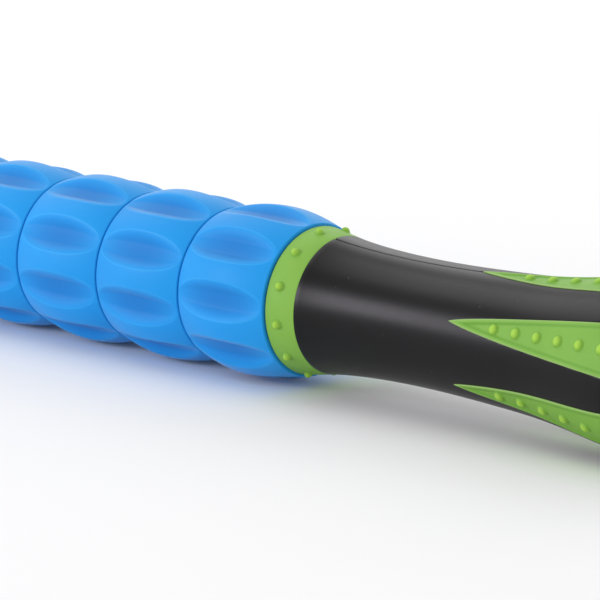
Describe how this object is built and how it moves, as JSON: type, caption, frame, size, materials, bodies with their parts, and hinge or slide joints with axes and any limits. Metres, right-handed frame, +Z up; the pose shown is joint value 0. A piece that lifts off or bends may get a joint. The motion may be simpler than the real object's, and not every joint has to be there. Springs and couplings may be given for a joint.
{
  "type": "massage roller stick",
  "caption": "Hand-held muscle roller: a row of free-spinning scooped beads on a steel tube between two waisted handles with soft grip inserts.",
  "frame": {"origin": "on the tube's axis at the middle of the stick", "axes": "+X along the stick from the left handle to the right one, +Z up, -Y towards the front"},
  "size_m": [0.4526, 0.038, 0.038],
  "materials": {
    "bead_blue": "satin moulded",
    "hub_nylon": "natural nylon",
    "washer_nylon": "natural nylon",
    "steel_tube": "drawn",
    "screw_steel": "zinc plated",
    "handle_black": "satin moulded, fine grained",
    "grip_green": "matte soft-touch"
  },
  "bodies": {
    "stick": {"core_rod": "steel_tube", "spacer_washer_1": "washer_nylon", "spacer_washer_2": "washer_nylon", "spacer_washer_3": "washer_nylon", "spacer_washer_4": "washer_nylon", "spacer_washer_5": "washer_nylon", "spacer_washer_6": "washer_nylon", "spacer_washer_7": "washer_nylon", "spacer_washer_8": "washer_nylon", "spacer_washer_9": "washer_nylon", "spacer_washer_10": "washer_nylon", "handle_core_left": "handle_black", "collar_left": "grip_green", "end_cap_left": "handle_black", "rod_end_plug_left": "screw_steel", "end_washer_left": "screw_steel", "end_screw_left": "screw_steel", "grip_insert_left_1": "grip_green", "grip_insert_left_2": "grip_green", "grip_insert_left_3": "grip_green", "grip_insert_left_4": "grip_green", "grip_insert_left_5": "grip_green", "grip_insert_left_6": "grip_green", "handle_core_right": "handle_black", "collar_right": "grip_green", "end_cap_right": "handle_black", "rod_end_plug_right": "screw_steel", "end_washer_right": "screw_steel", "end_screw_right": "screw_steel", "grip_insert_right_1": "grip_green", "grip_insert_right_2": "grip_green", "grip_insert_right_3": "grip_green", "grip_insert_right_4": "grip_green", "grip_insert_right_5": "grip_green", "grip_insert_right_6": "grip_green"},
    "bead_1": {"bead_shell_1": "bead_blue", "bead_hub_1": "hub_nylon"},
    "bead_2": {"bead_shell_2": "bead_blue", "bead_hub_2": "hub_nylon"},
    "bead_3": {"bead_shell_3": "bead_blue", "bead_hub_3": "hub_nylon"},
    "bead_4": {"bead_shell_4": "bead_blue", "bead_hub_4": "hub_nylon"},
    "bead_5": {"bead_shell_5": "bead_blue", "bead_hub_5": "hub_nylon"},
    "bead_6": {"bead_shell_6": "bead_blue", "bead_hub_6": "hub_nylon"},
    "bead_7": {"bead_shell_7": "bead_blue", "bead_hub_7": "hub_nylon"},
    "bead_8": {"bead_shell_8": "bead_blue", "bead_hub_8": "hub_nylon"},
    "bead_9": {"bead_shell_9": "bead_blue", "bead_hub_9": "hub_nylon"}
  },
  "joints": [
    {"name": "bead_spin_1", "type": "hinge", "parent": "stick", "child": "bead_1", "pos_m": [-0.1032, 0, 0], "axis": [1, 0, 0], "continuous": true},
    {"name": "bead_spin_2", "type": "hinge", "parent": "stick", "child": "bead_2", "pos_m": [-0.0774, 0, 0], "axis": [1, 0, 0], "continuous": true},
    {"name": "bead_spin_3", "type": "hinge", "parent": "stick", "child": "bead_3", "pos_m": [-0.0516, 0, 0], "axis": [1, 0, 0], "continuous": true},
    {"name": "bead_spin_4", "type": "hinge", "parent": "stick", "child": "bead_4", "pos_m": [-0.0258, 0, 0], "axis": [1, 0, 0], "continuous": true},
    {"name": "bead_spin_5", "type": "hinge", "parent": "stick", "child": "bead_5", "pos_m": [0, 0, 0], "axis": [1, 0, 0], "continuous": true},
    {"name": "bead_spin_6", "type": "hinge", "parent": "stick", "child": "bead_6", "pos_m": [0.0258, 0, 0], "axis": [1, 0, 0], "continuous": true},
    {"name": "bead_spin_7", "type": "hinge", "parent": "stick", "child": "bead_7", "pos_m": [0.0516, 0, 0], "axis": [1, 0, 0], "continuous": true},
    {"name": "bead_spin_8", "type": "hinge", "parent": "stick", "child": "bead_8", "pos_m": [0.0774, 0, 0], "axis": [1, 0, 0], "continuous": true},
    {"name": "bead_spin_9", "type": "hinge", "parent": "stick", "child": "bead_9", "pos_m": [0.1032, 0, 0], "axis": [1, 0, 0], "continuous": true}
  ]
}
